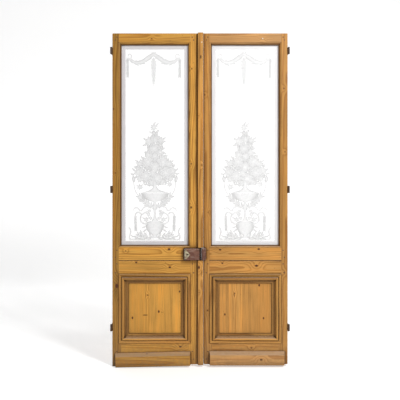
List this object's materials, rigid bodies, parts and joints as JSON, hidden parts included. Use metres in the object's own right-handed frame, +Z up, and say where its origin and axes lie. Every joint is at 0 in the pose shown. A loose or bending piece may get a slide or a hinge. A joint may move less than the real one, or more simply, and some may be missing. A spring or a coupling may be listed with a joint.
{
  "type": "french doors",
  "caption": "Pair of reclaimed pine french doors with etched glass over a moulded panel, butt hinges and an iron rim latch with its keep.",
  "frame": {"origin": "bottom centre of the bounding box of the closed pair", "axes": "+X runs to the right along the pair as seen from the front, the front with the latch faces -Y, +Z is up"},
  "size_m": [1.189, 0.066, 2.204],
  "materials": {
    "left_pine": "old waxed pine, honey gold",
    "right_pine": "old waxed pine, slightly paler",
    "dark_pegs": "end grain, dark",
    "etched_glass": "acid etched with a frosted border and scrollwork",
    "rusty_iron": "rust brown with worn paint",
    "hinge_iron": "dark brown patina",
    "bare_steel": "dull with light rust",
    "worn_brass": "worn, with old cream paint"
  },
  "bodies": {
    "root": {"left_hinge_top_frame_half": "hinge_iron", "left_hinge_middle_frame_half": "hinge_iron", "left_hinge_bottom_frame_half": "hinge_iron", "right_hinge_top_frame_half": "hinge_iron", "right_hinge_middle_frame_half": "hinge_iron", "right_hinge_bottom_frame_half": "hinge_iron"},
    "left_leaf": {"left_hinge_stile": "left_pine", "left_meeting_stile": "left_pine", "left_top_rail": "left_pine", "left_upper_mid_rail": "left_pine", "left_lower_mid_rail": "left_pine", "left_bottom_rail": "left_pine", "left_panel": "left_pine", "left_kickboard": "left_pine", "left_moulding_top": "left_pine", "left_moulding_bottom": "left_pine", "left_moulding_inner": "left_pine", "left_moulding_outer": "left_pine", "left_glazing_bead_top": "left_pine", "left_glazing_bead_bottom": "left_pine", "left_glazing_bead_inner": "left_pine", "left_glazing_bead_outer": "left_pine", "left_glass": "etched_glass", "left_joint_pegs": "dark_pegs", "left_hinge_screws": "hinge_iron", "left_hinge_top_leaf_half": "hinge_iron", "left_hinge_middle_leaf_half": "hinge_iron", "left_hinge_bottom_leaf_half": "hinge_iron", "meeting_strip_upper": "right_pine", "meeting_strip_lower": "right_pine", "latch_case": "rusty_iron", "spindle_plate": "worn_brass", "latch_spring": "bare_steel", "latch_screws": "hinge_iron"},
    "right_leaf": {"right_hinge_stile": "right_pine", "right_meeting_stile": "right_pine", "right_top_rail": "right_pine", "right_upper_mid_rail": "right_pine", "right_lower_mid_rail": "right_pine", "right_bottom_rail": "right_pine", "right_panel": "right_pine", "right_kickboard": "right_pine", "right_moulding_top": "right_pine", "right_moulding_bottom": "right_pine", "right_moulding_inner": "right_pine", "right_moulding_outer": "right_pine", "right_glazing_bead_top": "right_pine", "right_glazing_bead_bottom": "right_pine", "right_glazing_bead_inner": "right_pine", "right_glazing_bead_outer": "right_pine", "right_glass": "etched_glass", "right_joint_pegs": "dark_pegs", "right_hinge_screws": "hinge_iron", "right_hinge_top_leaf_half": "hinge_iron", "right_hinge_middle_leaf_half": "hinge_iron", "right_hinge_bottom_leaf_half": "hinge_iron", "keep": "rusty_iron", "keep_screws": "hinge_iron"},
    "latch": {"latch_bolt": "bare_steel"},
    "follower": {"latch_follower": "bare_steel"}
  },
  "joints": [
    {"name": "left_swing", "type": "hinge", "parent": "root", "child": "left_leaf", "pos_m": [-0.5875, -0.006, 1.1], "axis": [0, 0, -1], "range_deg": [0, 110]},
    {"name": "right_swing", "type": "hinge", "parent": "root", "child": "right_leaf", "pos_m": [0.5875, -0.006, 1.1], "axis": [0, 0, 1], "range_deg": [0, 110]},
    {"name": "latch_slide", "type": "slide", "parent": "left_leaf", "child": "latch", "axis": [1, 0, 0], "range_m": [0, 0.014], "deforming": ["latch_spring"]},
    {"name": "follower_turn", "type": "hinge", "parent": "left_leaf", "child": "follower", "pos_m": [-0.082, -0.0185, 0.742], "axis": [0, -1, 0], "range_deg": [0, 50]}
  ],
  "couplings": [
    {"joint": "follower_turn", "follows": "latch_slide", "rad_per_m": 62.333}
  ]
}
